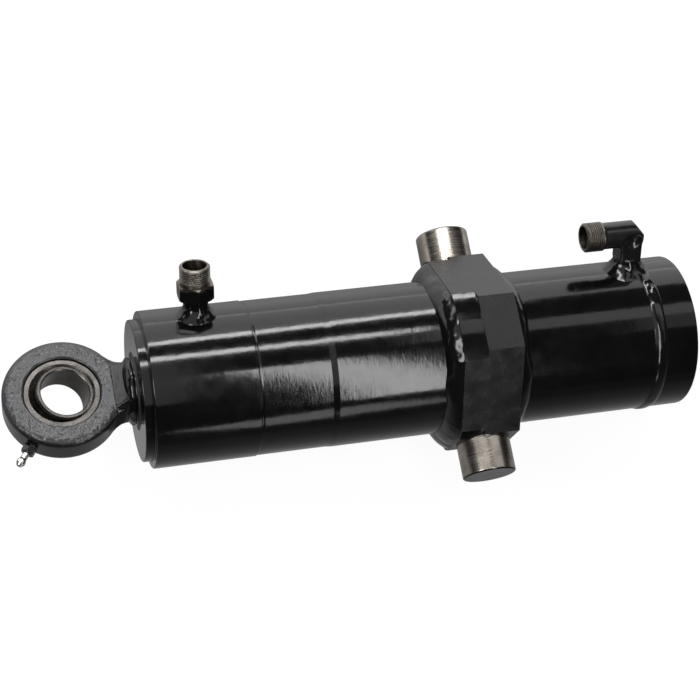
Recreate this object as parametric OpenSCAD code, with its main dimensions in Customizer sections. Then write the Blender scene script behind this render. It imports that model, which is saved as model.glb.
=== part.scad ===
// Hydraulic cylinder with trunnion block, forged rod eye and welded ports.
// X runs from the rod eye (-X) to the blind end (+X), Y is the trunnion axis, Z is up.
// The origin is where the trunnion axis crosses the cylinder axis. Units are millimetres.

/* [Barrel] */
// Outside diameter of the barrel tube
tube_od = 115; // [114:0.5:120]
// Bore of the barrel
bore_d = 100; // [100]
// Distance from the trunnion axis to the tube's front rim
tube_front = 244.5; // [242:0.5:252]
// Distance from the trunnion axis to the tube's rear end
tube_rear = 133.6; // [133.6:0.1:140]
// Distance from the trunnion axis to the front line turned in the tube
line_front = 168; // [161:0.5:176]
// Distance from the trunnion axis to the rear line turned in the tube
line_rear = 114.5; // [100:0.5:130]
// Depth of the band turned between the two lines
band_depth = 0.5; // [0.1:0.1:0.6]

/* [End cap] */
// Thickness of the end cap behind the weld
cap_t = 31.4; // [28:0.1:45]
// Height of the cap weld's crown above the tube
cap_weld_h = 1.6; // [1:0.1:2.5]

/* [Trunnion] */
// Width of the trunnion block along the cylinder
block_w = 45; // [40:1:46]
// Distance between the two faces that carry the pins
block_span = 140; // [138:1:144]
// Height of the block between its two side faces
block_h = 144; // [142:1:150]
// Distance between opposite chamfers
block_chamfer_span = 131; // [129:1:136]
// Diameter that the front of the block is turned to
block_turned_d = 143.2; // [141:0.2:144]
// Diameter of the trunnion pins
pin_d = 40; // [36:1:42]
// Distance over the ends of both trunnion pins
pins_over = 192; // [184:1:200]
// Leg of the fillet welds along the barrel
block_weld = 10.5; // [8:0.5:12]
// Leg of the fillet welds up the block
block_weld_h = 7.3; // [5:0.1:7.3]

/* [Ports] */
// Angle of the ports from Z towards the upper trunnion pin
port_roll = 44; // [40:1:50]
// Distance from the trunnion axis to the front port
front_port = 204.6; // [203:0.1:206]
// Distance from the trunnion axis to the rear port
rear_port = 125; // [123:0.1:125.2]
// Outside diameter of the port threads
port_thread_d = 22; // [20:0.5:24]
// Oil passage in the ports
port_bore = 12; // [10:0.5:13]
// Hexagon of the front port across flats
port_hex = 26; // [24:1:28]
// Distance from the cylinder axis to the front port's mouth
port_mouth = 96; // [92:1:100]
// Distance from the cylinder axis to the rear port's horizontal leg
elbow_h = 86.5; // [84:0.5:92]
// Distance from the trunnion axis to the rear port's mouth
elbow_mouth = 88.5; // [84:0.5:92]

/* [Rod and piston] */
// Diameter of the chromed rod
rod_d = 50; // [50]
// Distance from the trunnion axis to the rod's front end
rod_front = 253; // [252.6:0.1:256]
// Length of the piston
piston_l = 50; // [50:1:52]
// Distance from the trunnion axis to the piston's front face, retracted
piston_front = 62; // [55:1:62]

/* [Rod eye] */
// Distance from the trunnion axis to the centre of the eye
eye_x = 303.4; // [302:0.2:306]
// Outside diameter of the eye
eye_d = 85; // [80:1:90]
// Thickness of the eye
eye_t = 25; // [24:0.5:26]
// Roll of the eye about the rod, towards the upper trunnion pin
eye_roll = 11.9; // [0:0.1:45]
// Swivel of the bearing ball in its ring, as it rests
ball_swivel = 11; // [0:0.5:12]
// Direction of that swivel, from the barrel towards the lower trunnion pin
swivel_dir = 20; // [0:1:45]
// Direction of the grease nipple, from the front of the eye towards the lower pin
nipple_dir = 53; // [40:1:70]

/* [Hidden] */

$fn = 96;
// Radial gap of parts that run on each other
run = 0.05;
tube_r = tube_od / 2;
bore_r = bore_d / 2;
rod_r = rod_d / 2;
pin_r = pin_d / 2;
thread_r = port_thread_d / 2;
// Spigots of the ports in the tube's wall
spigot_foot = 54.5;
port_spigot_r = 7.5;
// Gland: thread, pilot and tail, measured forward from the trunnion axis
gland_front = tube_front + 6.6;
gland_thread_r = 52.5;
gland_thread_end = tube_front - 18;
gland_pilot_end = gland_thread_end - 12.5;
gland_tail_end = 160;
gland_tail_r = 44;
// Piston, measured rearward from the trunnion axis
piston_rear = piston_front + piston_l;
spigot_r = 20;
rod_thread_r = 18;
nut_l = 17;
rod_rear = piston_rear + nut_l + 1;
// Bead of the rear port: radius at its foot and neck, and its top
rear_bead = [16.8, 11.2, 65];
// Cap
cap_front = tube_rear + 0.4;
cap_rear = cap_front + cap_t - 0.1;
// Bearing, a standard spherical plain bearing for a 35 mm pin
ball_bore_r = 17.5;
ball_r = 23.5;
ball_w = 25;
ring_r = 27.5;
ring_w = 20;
steel = [0.62, 0.62, 0.63];
black = [0.045, 0.045, 0.05];
rubber = [0.03, 0.03, 0.03];
bronze = [0.42, 0.30, 0.16];

// A body of revolution about X. Points are [distance along X, radius].
module turned(points) {
    rotate([0, 90, 0])
        rotate_extrude()
            polygon([for (p = points) [p[1], p[0]]]);
}

// A plain ring about X
module ring(x0, x1, outer, inner) {
    turned([[x0, inner], [x1, inner], [x1, outer], [x0, outer]]);
}

// A plain round bar along X
module bar(x0, x1, r) {
    translate([x0, 0, 0])
        rotate([0, 90, 0])
            cylinder(h = x1 - x0, r = r);
}

// Puts a shape with its own Z axis on a port's axis
module at_port(x) {
    translate([x, 0, 0])
        rotate([-port_roll, 0, 0])
            children();
}

// Puts a shape with its own Z axis on the rod eye's axis
module at_eye() {
    translate([-eye_x, 0, 0])
        rotate([-eye_roll, 0, 0])
            children();
}

// Puts a shape with its own Z axis on the bearing ball's axis
module at_ball() {
    at_eye()
        rotate(a = ball_swivel, v = [sin(swivel_dir), cos(swivel_dir), 0])
            children();
}

module barrel_tube() {
    color(black)
        difference() {
            turned([
                [-tube_front, gland_thread_r + 0.8], [-tube_front + 0.8, gland_thread_r],
                [-gland_thread_end, gland_thread_r], [-gland_thread_end, bore_r],
                [tube_rear, bore_r], [tube_rear, 53], [tube_rear - 3, tube_r],
                [-line_rear + 2.3, tube_r], [-line_rear - 2.3, tube_r - band_depth],
                [-line_front + 0.6, tube_r - band_depth], [-line_front + 0.3, tube_r - band_depth - 0.2],
                [-line_front - 0.3, tube_r - band_depth - 0.2], [-line_front - 0.6, tube_r],
                [-tube_front + 1.5, tube_r], [-tube_front, tube_r - 1.5]
            ]);
            for (x = [-front_port, rear_port])
                at_port(x) {
                    translate([0, 0, 40])
                        cylinder(h = 30, r = port_bore / 2);
                    translate([0, 0, spigot_foot])
                        cylinder(h = 10, r = port_spigot_r);
                }
        }
}

module end_cap() {
    color(black)
        turned([
            [cap_front - 2.7, 0], [cap_front - 2.7, bore_r - 0.6], [cap_front - 2.2, bore_r - 0.03],
            [cap_front, bore_r - 0.03], [cap_front, 53], [cap_front + 5, tube_r],
            [cap_rear - 1, tube_r], [cap_rear, tube_r - 1], [cap_rear, 0]
        ]);
}

// Fills the groove between tube and cap and stands proud of both
module end_cap_weld() {
    color(black)
        difference() {
            turned([
                [tube_rear + 0.02, 53.02], [cap_front - 0.02, 53.02], [cap_front + 4.98, tube_r + 0.02],
                [cap_front + 7, tube_r + 0.02], [cap_front + 5, tube_r + cap_weld_h],
                [tube_rear - 2, tube_r + cap_weld_h], [tube_rear - 4, tube_r + 0.02],
                [tube_rear - 2.98, tube_r + 0.02]
            ]);
            // The rear port's bead runs into it
            at_port(rear_port)
                bead_cone(rear_bead[0] + 0.03, rear_bead[1] + 0.03, rear_bead[2]);
        }
}

// Octagonal forging; its front half is turned round
module trunnion_block() {
    half_y = block_span / 2;
    half_z = block_h / 2;
    corner = block_chamfer_span / 2 * sqrt(2);
    color(black)
        difference() {
            intersection() {
                translate([-block_w / 2, 0, 0])
                    rotate([90, 0, 90])
                        linear_extrude(height = block_w)
                            polygon([
                                [half_y, corner - half_y], [corner - half_z, half_z],
                                [half_z - corner, half_z], [-half_y, corner - half_y],
                                [-half_y, half_y - corner], [half_z - corner, -half_z],
                                [corner - half_z, -half_z], [half_y, half_y - corner]
                            ]);
                turned([
                    [-block_w / 2, 0], [-block_w / 2, block_turned_d / 2 - 2],
                    [-block_w / 2 + 2, block_turned_d / 2], [-5, block_turned_d / 2],
                    [-4.5, 80], [block_w / 2, 80], [block_w / 2, 0]
                ]);
            }
            bar(-40, 40, tube_r);
            // Pockets that the pins are pressed into, each with a shallow relief round it
            for (side = [-90, 90])
                rotate([side, 0, 0]) {
                    translate([0, 0, half_y - 9])
                        cylinder(h = 20, r = 15);
                    translate([0, 0, half_y - 1])
                        cylinder(h = 20, r = pin_r);
                }
        }
}

module trunnion_pin() {
    base = block_span / 2;
    tip = pins_over / 2;
    color(steel)
        rotate_extrude()
            polygon([
                [0, base - 9], [14, base - 9], [15, base - 8], [15, base + 0.2],
                [pin_r, base + 0.2], [pin_r, tip - 1.2], [pin_r - 1.2, tip], [0, tip]
            ]);
}

module trunnion_pin_upper() {
    rotate([-90, 0, 0])
        trunnion_pin();
}

module trunnion_pin_lower() {
    rotate([90, 0, 0])
        trunnion_pin();
}

// Three-cornered fillet between tube and block. side is -1 at the front, 1 at the rear.
module block_fillet(side) {
    face = side * (block_w / 2 + 0.02);
    leg = side * block_weld;
    color(black)
        turned([
            [face, tube_r + 0.02], [face + leg, tube_r + 0.02],
            [face + leg * 0.5, tube_r + block_weld_h * 0.62], [face, tube_r + block_weld_h]
        ]);
}

module trunnion_weld_front() {
    block_fillet(-1);
}

module trunnion_weld_rear() {
    block_fillet(1);
}

// Straight port: spigot in the tube wall, neck, hexagon, thread with a conical mouth
module front_port_stud() {
    hex_z = 71;
    thread_z = 82.5;
    color(black)
        at_port(-front_port)
            difference() {
                union() {
                    translate([0, 0, spigot_foot])
                        cylinder(h = 4, r = port_spigot_r - 0.02);
                    translate([0, 0, tube_r + 0.5])
                        cylinder(h = hex_z - tube_r + 0.5, r = 8.97);
                    intersection() {
                        translate([0, 0, hex_z])
                            rotate([0, 0, 30])
                                cylinder(h = thread_z - hex_z, r = port_hex / sqrt(3), $fn = 6);
                        translate([0, 0, hex_z])
                            cylinder(h = thread_z - hex_z, r1 = port_hex / 2 + 2.4, r2 = port_hex / 2 + 0.3);
                    }
                    translate([0, 0, thread_z - 1])
                        cylinder(h = 3, r = thread_r - 1.2);
                    translate([0, 0, thread_z + 2])
                        cylinder(h = port_mouth - thread_z - 3, r = thread_r);
                    translate([0, 0, port_mouth - 1])
                        cylinder(h = 1, r1 = thread_r, r2 = thread_r - 1);
                }
                cylinder(h = 120, r = port_bore / 2);
                translate([0, 0, port_mouth - 10])
                    cylinder(h = 10.01, r1 = 6.4, r2 = 8.5);
            }
}

// The cone that a bead round a port's foot is cut from. foot_r is its radius 50 mm from the axis.
module bead_cone(foot_r, neck_r, top) {
    translate([0, 0, 50])
        cylinder(h = top - 50, r1 = foot_r, r2 = neck_r);
}

// Bead round a port's foot; it follows the round tube
module port_bead(x, foot_r, neck_r, top) {
    color(black)
        at_port(x)
            difference() {
                bead_cone(foot_r, neck_r, top);
                rotate([0, 90, 0])
                    translate([0, 0, -60])
                        cylinder(h = 120, r = tube_r + 0.02);
                translate([0, 0, tube_r])
                    cylinder(h = 60, r = 9);
                cylinder(h = 60, r = port_spigot_r);
            }
}

module front_port_weld() {
    port_bead(-front_port, 19.5, 9.6, 64.5);
}

// Forged elbow: spigot, square body, round leg along the tube, thread with a conical mouth
module rear_port_elbow() {
    leg = rear_port - elbow_mouth;
    thread_l = 15.5;
    color(black)
        at_port(rear_port)
            difference() {
                union() {
                    translate([0, 0, spigot_foot])
                        cylinder(h = 4, r = port_spigot_r - 0.02);
                    translate([0, 0, tube_r + 0.5])
                        cylinder(h = 8.5, r = 8.97);
                    rotate([90, 0, 0])
                        translate([0, 0, -10])
                            linear_extrude(height = 20)
                                polygon([
                                    [-10, 67], [-8.5, 65], [8.5, 65], [10, 67], [10, elbow_h + 3],
                                    [3, elbow_h + 10], [-10, elbow_h + 10]
                                ]);
                    translate([0, 0, elbow_h])
                        rotate([0, -90, 0]) {
                            cylinder(h = leg - thread_l + 1, r = 10);
                            translate([0, 0, leg - thread_l])
                                cylinder(h = 3, r1 = 10, r2 = thread_r);
                            translate([0, 0, leg - thread_l + 2])
                                cylinder(h = thread_l - 3, r = thread_r);
                            translate([0, 0, leg - 1])
                                cylinder(h = 1, r1 = thread_r, r2 = thread_r - 1);
                        }
                }
                cylinder(h = elbow_h, r = port_bore / 2);
                translate([0, 0, elbow_h])
                    rotate([0, -90, 0]) {
                        translate([0, 0, -5.9])
                            cylinder(h = leg + 10, r = port_bore / 2);
                        translate([0, 0, leg - 10])
                            cylinder(h = 10.01, r1 = 6.4, r2 = 8.5);
                    }
            }
}

module rear_port_weld() {
    port_bead(rear_port, rear_bead[0], rear_bead[1], rear_bead[2]);
}

// Guides the rod and closes the front; the slim tail leaves room for oil under the port
module gland() {
    color(black)
        difference() {
            turned([
                [-gland_front, 28.5], [-gland_front + 7.5, 28.5], [-gland_front + 7.5, rod_r + 0.4],
                [-gland_tail_end, rod_r + 0.4], [-gland_tail_end, gland_tail_r],
                [-gland_pilot_end, gland_tail_r], [-gland_pilot_end, bore_r - 0.03],
                [-gland_thread_end, bore_r - 0.03], [-gland_thread_end, gland_thread_r - 0.03],
                [-tube_front, gland_thread_r - 0.03], [-tube_front, 51.8],
                [-gland_front + 0.8, 51.8], [-gland_front, 51]
            ]);
            ring(-gland_thread_end + 3.5, -gland_thread_end + 8.7, 60, 46.4);
            ring(-240, -230, rod_r + 2.5, 20);
            ring(-225, -217, rod_r + 5, 20);
            ring(-207, -201, rod_r + 4, 20);
            ring(-182, -167, rod_r + 2.5, 20);
        }
}

module gland_o_ring() {
    color(rubber)
        rotate([0, 90, 0])
            rotate_extrude()
                translate([48.2, -gland_thread_end + 5.3])
                    circle(r = 1.7);
}

module gland_backup_ring() {
    color([0.75, 0.72, 0.62])
        ring(-gland_thread_end + 7.2, -gland_thread_end + 8.6, 49.9, 46.5);
}

// The lip stands just out of the gland's face and wipes the rod
module rod_wiper() {
    x = -gland_front;
    color(rubber)
        turned([
            [x + 7.4, 28.45], [x + 7.4, rod_r + 0.6], [x + 2, rod_r + 0.6], [x - 0.8, rod_r + run],
            [x - 0.8, rod_r + 0.5], [x + 0.6, 26.6], [x + 0.6, 28.45]
        ]);
}

module rod_seal() {
    color([0.09, 0.16, 0.24])
        ring(-224.9, -217.1, rod_r + 4.95, rod_r + run);
}

module rod_buffer_seal() {
    color([0.35, 0.26, 0.12])
        ring(-206.9, -201.1, rod_r + 3.95, rod_r + run);
}

module rod_guide_ring_front() {
    color(bronze)
        ring(-239.9, -230.1, rod_r + 2.47, rod_r + run);
}

module rod_guide_ring_rear() {
    color(bronze)
        ring(-181.9, -167.1, rod_r + 2.47, rod_r + run);
}

module piston_wear_ring_front() {
    color(bronze)
        ring(piston_front + 4.1, piston_front + 13.9, bore_r - run, bore_r - 2.75);
}

module piston_wear_ring_rear() {
    color(bronze)
        ring(piston_rear - 13.9, piston_rear - 4.1, bore_r - run, bore_r - 2.75);
}

module piston_seal() {
    mid = (piston_front + piston_rear) / 2;
    color([0.09, 0.16, 0.24])
        ring(mid - 5.9, mid + 5.9, bore_r - run, bore_r - 7.45);
}

module piston_rod() {
    color([0.80, 0.81, 0.83])
        turned([
            [-rod_front - 5, 0], [-rod_front - 5, 9], [-rod_front - 4, 9.95], [-rod_front, 9.95],
            [-rod_front, rod_r - 1.5], [-rod_front + 1.5, rod_r], [piston_front, rod_r],
            [piston_front, spigot_r - 0.03], [piston_rear, spigot_r - 0.03], [piston_rear, rod_thread_r],
            [rod_rear - 1.5, rod_thread_r], [rod_rear, rod_thread_r - 1.5], [rod_rear, 0]
        ]);
}

module piston() {
    mid = (piston_front + piston_rear) / 2;
    r = bore_r - 0.4;
    color(steel)
        difference() {
            turned([
                [piston_front + 0.02, spigot_r], [piston_rear, spigot_r], [piston_rear, r - 2],
                [piston_rear - 2, r], [piston_front + 2, r], [piston_front + 0.02, r - 2]
            ]);
            ring(piston_front + 4, piston_front + 14, 60, bore_r - 2.8);
            ring(piston_rear - 14, piston_rear - 4, 60, bore_r - 2.8);
            ring(mid - 6, mid + 6, 60, bore_r - 7.5);
            ring(mid - 2.2, mid + 2.2, spigot_r + 2.6, 10);
        }
}

module piston_o_ring() {
    color(rubber)
        rotate([0, 90, 0])
            rotate_extrude()
                translate([spigot_r + 1.29, (piston_front + piston_rear) / 2])
                    circle(r = 1.27);
}

module piston_nut() {
    color(steel)
        difference() {
            translate([piston_rear + 0.02, 0, 0])
                rotate([0, 90, 0])
                    cylinder(h = nut_l, r = 55 / sqrt(3), $fn = 6);
            bar(piston_front, rod_rear + 10, rod_thread_r + 0.02);
        }
}

// Forging with a flat eye, two slanted faces and a round foot
module rod_eye() {
    half = eye_t / 2;
    rim = 4.5;
    foot = eye_x - rod_front;
    flat_end = foot - 14.4;
    color(black)
        at_eye()
            difference() {
                union() {
                    rotate_extrude()
                        polygon([
                            [0, -half], [eye_d / 2 - rim, -half], [eye_d / 2, -half + rim * 1.6],
                            [eye_d / 2, half - rim * 1.6], [eye_d / 2 - rim, half], [0, half]
                        ]);
                    intersection() {
                        bar(0, foot - 2.6, 20.5);
                        rotate([90, 0, 0])
                            translate([0, 0, -30])
                                linear_extrude(height = 60)
                                    polygon([
                                        [0, half], [flat_end, half], [foot, half + 8.7],
                                        [foot, -half - 8.7], [flat_end, -half], [0, -half]
                                    ]);
                    }
                    intersection() {
                        turned([
                            [foot - 7.1, 0], [foot - 7.1, 20.5], [foot - 2.6, rod_r],
                            [foot - 0.6, rod_r], [foot, rod_r - 0.6], [foot, 0]
                        ]);
                        rotate([90, 0, 0])
                            translate([0, 0, -30])
                                linear_extrude(height = 60)
                                    polygon([
                                        [foot - 10, 15.2], [foot - 2.6, 19.7], [foot - 2.6, 40],
                                        [foot + 1, 40], [foot + 1, -40], [foot - 2.6, -40],
                                        [foot - 2.6, -19.7], [foot - 10, -15.2]
                                    ]);
                    }
                }
                // Seat of the bearing
                translate([0, 0, -30])
                    cylinder(h = 60, r = ring_r);
                // Register for the rod's pilot
                bar(foot - 5.2, foot + 1, 10);
                // Grease way and the nipple's thread
                rotate([0, 0, nipple_dir])
                    bar(-eye_d, 0, 1.5);
                rotate([0, 0, nipple_dir])
                    bar(-eye_d, -eye_d / 2 + 6, 4);
            }
}

module bearing_outer_ring() {
    half = ring_w / 2;
    color([0.42, 0.41, 0.40])
        at_eye()
            difference() {
                rotate_extrude()
                    polygon([
                        [15, -half], [ring_r - 0.8, -half], [ring_r - 0.01, -half + 0.8],
                        [ring_r - 0.01, -1.5], [ring_r - 1, -0.7], [ring_r - 1, 0.7], [ring_r - 0.01, 1.5],
                        [ring_r - 0.01, half - 0.8], [ring_r - 0.8, half], [15, half]
                    ]);
                sphere(r = ball_r + run);
                // Entry chamfers beside the ball
                for (side = [-1, 1])
                    translate([0, 0, side * (half - 0.6)])
                        rotate([side < 0 ? 180 : 0, 0, 0])
                            cylinder(h = 2, r1 = 21.4, r2 = 23.4);
                rotate([0, 0, nipple_dir])
                    bar(-eye_d, 0, 1.5);
            }
}

// Threaded body, hexagon, neck and coupling head
module grease_nipple() {
    color([0.78, 0.77, 0.72])
        at_eye()
            rotate([0, 0, nipple_dir])
                difference() {
                    union() {
                        bar(-eye_d / 2 - 1, -eye_d / 2 + 5.5, 3.97);
                        translate([-eye_d / 2 - 6.6, 0, 0])
                            rotate([0, 90, 0])
                                cylinder(h = 6, r = 9 / sqrt(3), $fn = 6);
                        turned([
                            [-eye_d / 2 - 18, 0], [-eye_d / 2 - 18, 1.6], [-eye_d / 2 - 15.6, 3.25],
                            [-eye_d / 2 - 13.4, 3.25], [-eye_d / 2 - 11.6, 2.4],
                            [-eye_d / 2 - 6.5, 2.4], [-eye_d / 2 - 6.5, 0]
                        ]);
                    }
                    bar(-eye_d, 0, 1);
                }
}

module bearing_ball() {
    half = ball_w / 2;
    color([0.50, 0.49, 0.48])
        at_ball()
            difference() {
                intersection() {
                    sphere(r = ball_r);
                    translate([0, 0, -half])
                        cylinder(h = ball_w, r = 30);
                }
                translate([0, 0, -30])
                    cylinder(h = 60, r = ball_bore_r);
                for (side = [0, 180])
                    rotate([side, 0, 0])
                        translate([0, 0, half - 0.8])
                            cylinder(h = 1, r1 = ball_bore_r, r2 = ball_bore_r + 1);
            }
}

barrel_tube();
end_cap();
end_cap_weld();
trunnion_block();
trunnion_pin_upper();
trunnion_pin_lower();
trunnion_weld_front();
trunnion_weld_rear();
front_port_stud();
front_port_weld();
rear_port_elbow();
rear_port_weld();
gland();
gland_o_ring();
gland_backup_ring();
rod_wiper();
rod_seal();
rod_buffer_seal();
rod_guide_ring_front();
rod_guide_ring_rear();
piston_wear_ring_front();
piston_wear_ring_rear();
piston_seal();
piston_rod();
piston();
piston_o_ring();
piston_nut();
rod_eye();
bearing_outer_ring();
grease_nipple();
bearing_ball();
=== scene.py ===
"""Looks of a hydraulic cylinder with a trunnion block, a forged rod eye and two welded ports.

Lengths are in millimetres until put() turns them into Blender's metres. X runs from the rod eye
to the blind end, Y is the trunnion axis and Z is up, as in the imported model.
"""

import math

import bmesh
import bpy
from mathutils import Matrix, Vector, noise


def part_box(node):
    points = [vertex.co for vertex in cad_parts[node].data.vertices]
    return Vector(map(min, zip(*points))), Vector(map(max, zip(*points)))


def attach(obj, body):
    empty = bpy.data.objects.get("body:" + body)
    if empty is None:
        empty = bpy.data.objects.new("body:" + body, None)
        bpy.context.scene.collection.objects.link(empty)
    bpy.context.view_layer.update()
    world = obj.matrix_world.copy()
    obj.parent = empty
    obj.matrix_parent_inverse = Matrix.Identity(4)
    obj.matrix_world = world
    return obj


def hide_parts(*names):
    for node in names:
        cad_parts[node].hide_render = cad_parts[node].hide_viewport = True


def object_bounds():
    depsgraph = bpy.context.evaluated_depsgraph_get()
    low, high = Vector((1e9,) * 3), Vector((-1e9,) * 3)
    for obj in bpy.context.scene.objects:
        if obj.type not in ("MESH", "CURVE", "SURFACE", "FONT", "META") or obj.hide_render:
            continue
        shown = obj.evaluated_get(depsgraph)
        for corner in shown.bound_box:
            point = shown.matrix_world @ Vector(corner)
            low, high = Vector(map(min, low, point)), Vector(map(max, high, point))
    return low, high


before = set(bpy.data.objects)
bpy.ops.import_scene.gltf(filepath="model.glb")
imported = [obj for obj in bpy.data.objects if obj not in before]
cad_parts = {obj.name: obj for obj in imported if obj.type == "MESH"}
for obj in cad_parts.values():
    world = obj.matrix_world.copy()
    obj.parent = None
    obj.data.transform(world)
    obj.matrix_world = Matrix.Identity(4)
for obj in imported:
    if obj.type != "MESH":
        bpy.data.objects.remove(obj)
cad_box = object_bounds()
MM = 0.001


# ---------------------------------------------------------------- sizes from the frame
def box_mm(node):
    """The lowest and highest corner of a CAD node, in millimetres."""
    low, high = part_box(node)
    return low / MM, high / MM


tube_low, tube_high = box_mm("barrel_tube")
cap_low, cap_high = box_mm("end_cap")
block_high = box_mm("trunnion_block")[1]
pin_high = box_mm("trunnion_pin_upper")[1]
gland_low = box_mm("gland")[0]
rod_low, rod_high = box_mm("piston_rod")
stud_low, stud_high = box_mm("front_port_stud")
elbow_low = box_mm("rear_port_elbow")[0]
front_weld_low = box_mm("trunnion_weld_front")[0]
cap_weld_low, cap_weld_high = box_mm("end_cap_weld")

TUBE_R = tube_high.y
BORE_R = 50.0
TUBE_FRONT, TUBE_REAR = tube_low.x, tube_high.x
CAP_REAR = cap_high.x
BLOCK_HALF_W = block_high.x
PIN_FACE, SIDE_FACE = block_high.y, block_high.z
PIN_R, PIN_TIP = pin_high.x, pin_high.y
GLAND_FRONT = gland_low.x
ROD_R = rod_high.y
PISTON_FRONT, ROD_FRONT = 62.0, -253.0

# The band turned down between two lines in the tube
LINE_FRONT, LINE_REAR, BAND_DEPTH = -168.0, -114.5, 0.5
# Block: distance of its chamfers from the axis, and its turned front half
CHAMFER_OUT, BLOCK_TURNED_R, TURNED_TO = 65.5, 71.6, -5.0
# Ports
PORT_ROLL = math.radians(44)
FRONT_PORT_X, REAR_PORT_X = (stud_low.x + stud_high.x) / 2, 125.0
PORT_MOUTH, HEX_FROM, THREAD_FROM = 96.0, 71.0, 82.5
THREAD_R, THREAD_PITCH, PORT_BORE_R, CONE_R = 11.0, 1.5, 6.0, 8.5
ELBOW_H, ELBOW_MOUTH_X, LEG_R = 86.5, elbow_low.x, 10.0
# Rod eye and its bearing
EYE_X, EYE_ROLL, EYE_R, EYE_HALF = -303.4, math.radians(11.9), 42.5, 12.5
EYE_FOOT = ROD_FRONT - EYE_X
RING_R, RING_HALF, BALL_R, BALL_BORE_R = 27.5, 10.0, 23.5, 17.5
SWIVEL, SWIVEL_DIR = math.radians(11), math.radians(20)
NIPPLE_DIR = math.radians(53)

# ---------------------------------------------------------------- places
ALONG_X = Matrix.Rotation(math.pi / 2, 4, "Y")
UP_PIN = Matrix.Rotation(-math.pi / 2, 4, "X")
DOWN_PIN = Matrix.Rotation(math.pi / 2, 4, "X")
PORT_TURN = Matrix.Rotation(-PORT_ROLL, 4, "X")
AT_FRONT_PORT = Matrix.Translation((FRONT_PORT_X, 0, 0)) @ PORT_TURN
AT_REAR_PORT = Matrix.Translation((REAR_PORT_X, 0, 0)) @ PORT_TURN
ON_ELBOW_LEG = (
    AT_REAR_PORT @ Matrix.Translation((0, 0, ELBOW_H)) @ Matrix.Rotation(-math.pi / 2, 4, "Y")
)
AT_EYE = Matrix.Translation((EYE_X, 0, 0)) @ Matrix.Rotation(-EYE_ROLL, 4, "X")
AT_BALL = AT_EYE @ Matrix.Rotation(
    SWIVEL, 4, Vector((math.sin(SWIVEL_DIR), math.cos(SWIVEL_DIR), 0))
)
AT_NIPPLE = (
    AT_EYE
    @ Matrix.Rotation(NIPPLE_DIR, 4, "Z")
    @ Matrix.Translation((-EYE_R, 0, 0))
    @ Matrix.Rotation(-math.pi / 2, 4, "Y")
)


# ---------------------------------------------------------------- mesh tools
def rounded(points, steps=4):
    """Rounds an outline's corners. A point is (along, radius) or (along, radius, fillet)."""
    outline = []
    for i, point in enumerate(points):
        corner = Vector(point[:2])
        fillet = point[2] if len(point) > 2 else 0
        if not fillet:
            outline.append(tuple(corner))
            continue
        back = (Vector(points[i - 1][:2]) - corner).normalized()
        on = (Vector(points[(i + 1) % len(points)][:2]) - corner).normalized()
        half = back.angle(on) / 2
        centre = corner + (back + on).normalized() * fillet / math.sin(half)
        start = corner + back * fillet / math.tan(half) - centre
        end = corner + on * fillet / math.tan(half) - centre
        sweep = start.angle(end)
        for k in range(steps + 1):
            t = k / steps
            arm = start * math.sin((1 - t) * sweep) + end * math.sin(t * sweep)
            outline.append(tuple(centre + arm / math.sin(sweep)))
    return outline


def between(start, end, count):
    """Points that split the straight way from start to end, without its end."""
    a, b = Vector(start), Vector(end)
    return [tuple(a.lerp(b, k / count)) for k in range(count)]


def new_object(name, mesh):
    obj = bpy.data.objects.new(name, mesh)
    bpy.context.scene.collection.objects.link(obj)
    return obj


def solid(name, vertices, faces, place=Matrix.Identity(4)):
    """A mesh object from points in millimetres, cleaned and facing outwards."""
    mesh = bpy.data.meshes.new(name)
    mesh.from_pydata([place @ Vector(v) * MM for v in vertices], [], faces)
    tidy = bmesh.new()
    tidy.from_mesh(mesh)
    bmesh.ops.remove_doubles(tidy, verts=tidy.verts, dist=2e-6)
    bmesh.ops.recalc_face_normals(tidy, faces=tidy.faces)
    tidy.to_mesh(mesh)
    tidy.free()
    return new_object(name, mesh)


def lathe(name, outline, place=ALONG_X, segments=192, shape=None):
    """Turns a closed outline of (along, radius) points about Z. shape(along, radius, angle) can
    move each point."""
    vertices, faces = [], []
    rows = len(outline)
    for j in range(segments):
        angle = 2 * math.pi * j / segments
        for along, radius in outline:
            if shape:
                along, radius = shape(along, radius, angle)
            vertices.append((radius * math.cos(angle), radius * math.sin(angle), along))
        for i in range(rows):
            k, nxt = (i + 1) % rows, (j + 1) % segments
            faces.append((j * rows + i, j * rows + k, nxt * rows + k, nxt * rows + i))
    return solid(name, vertices, faces, place)


def prism(name, polygon, low, high, place):
    """Pushes a polygon of (x, y) points along Z from low to high."""
    n = len(polygon)
    vertices = [(x, y, z) for z in (low, high) for x, y in polygon]
    faces = [tuple(range(n)), tuple(range(n, 2 * n))]
    faces += [(i, (i + 1) % n, n + (i + 1) % n, n + i) for i in range(n)]
    return solid(name, vertices, faces, place)


def apply_modifiers(obj):
    """Turns the object's modifiers into its mesh."""
    graph = bpy.context.evaluated_depsgraph_get()
    mesh = bpy.data.meshes.new_from_object(obj.evaluated_get(graph))
    obj.modifiers.clear()
    obj.data = mesh
    return obj


def merge(obj, others):
    """Adds the other objects' meshes to obj's."""
    gather = bmesh.new()
    for part in [obj, *others]:
        gather.from_mesh(part.data)
    gather.to_mesh(obj.data)
    gather.free()
    for part in others:
        bpy.data.objects.remove(part)
    return obj


def forge(obj, voxel, rounding, passes):
    """Fuses overlapping solids into one skin and rounds its edges, like a drop forging."""
    remesh = obj.modifiers.new("skin", "REMESH")
    remesh.mode = "VOXEL"
    remesh.voxel_size = voxel * MM
    smooth = obj.modifiers.new("rounding", "SMOOTH")
    smooth.factor = rounding
    smooth.iterations = passes
    return apply_modifiers(obj)


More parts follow.
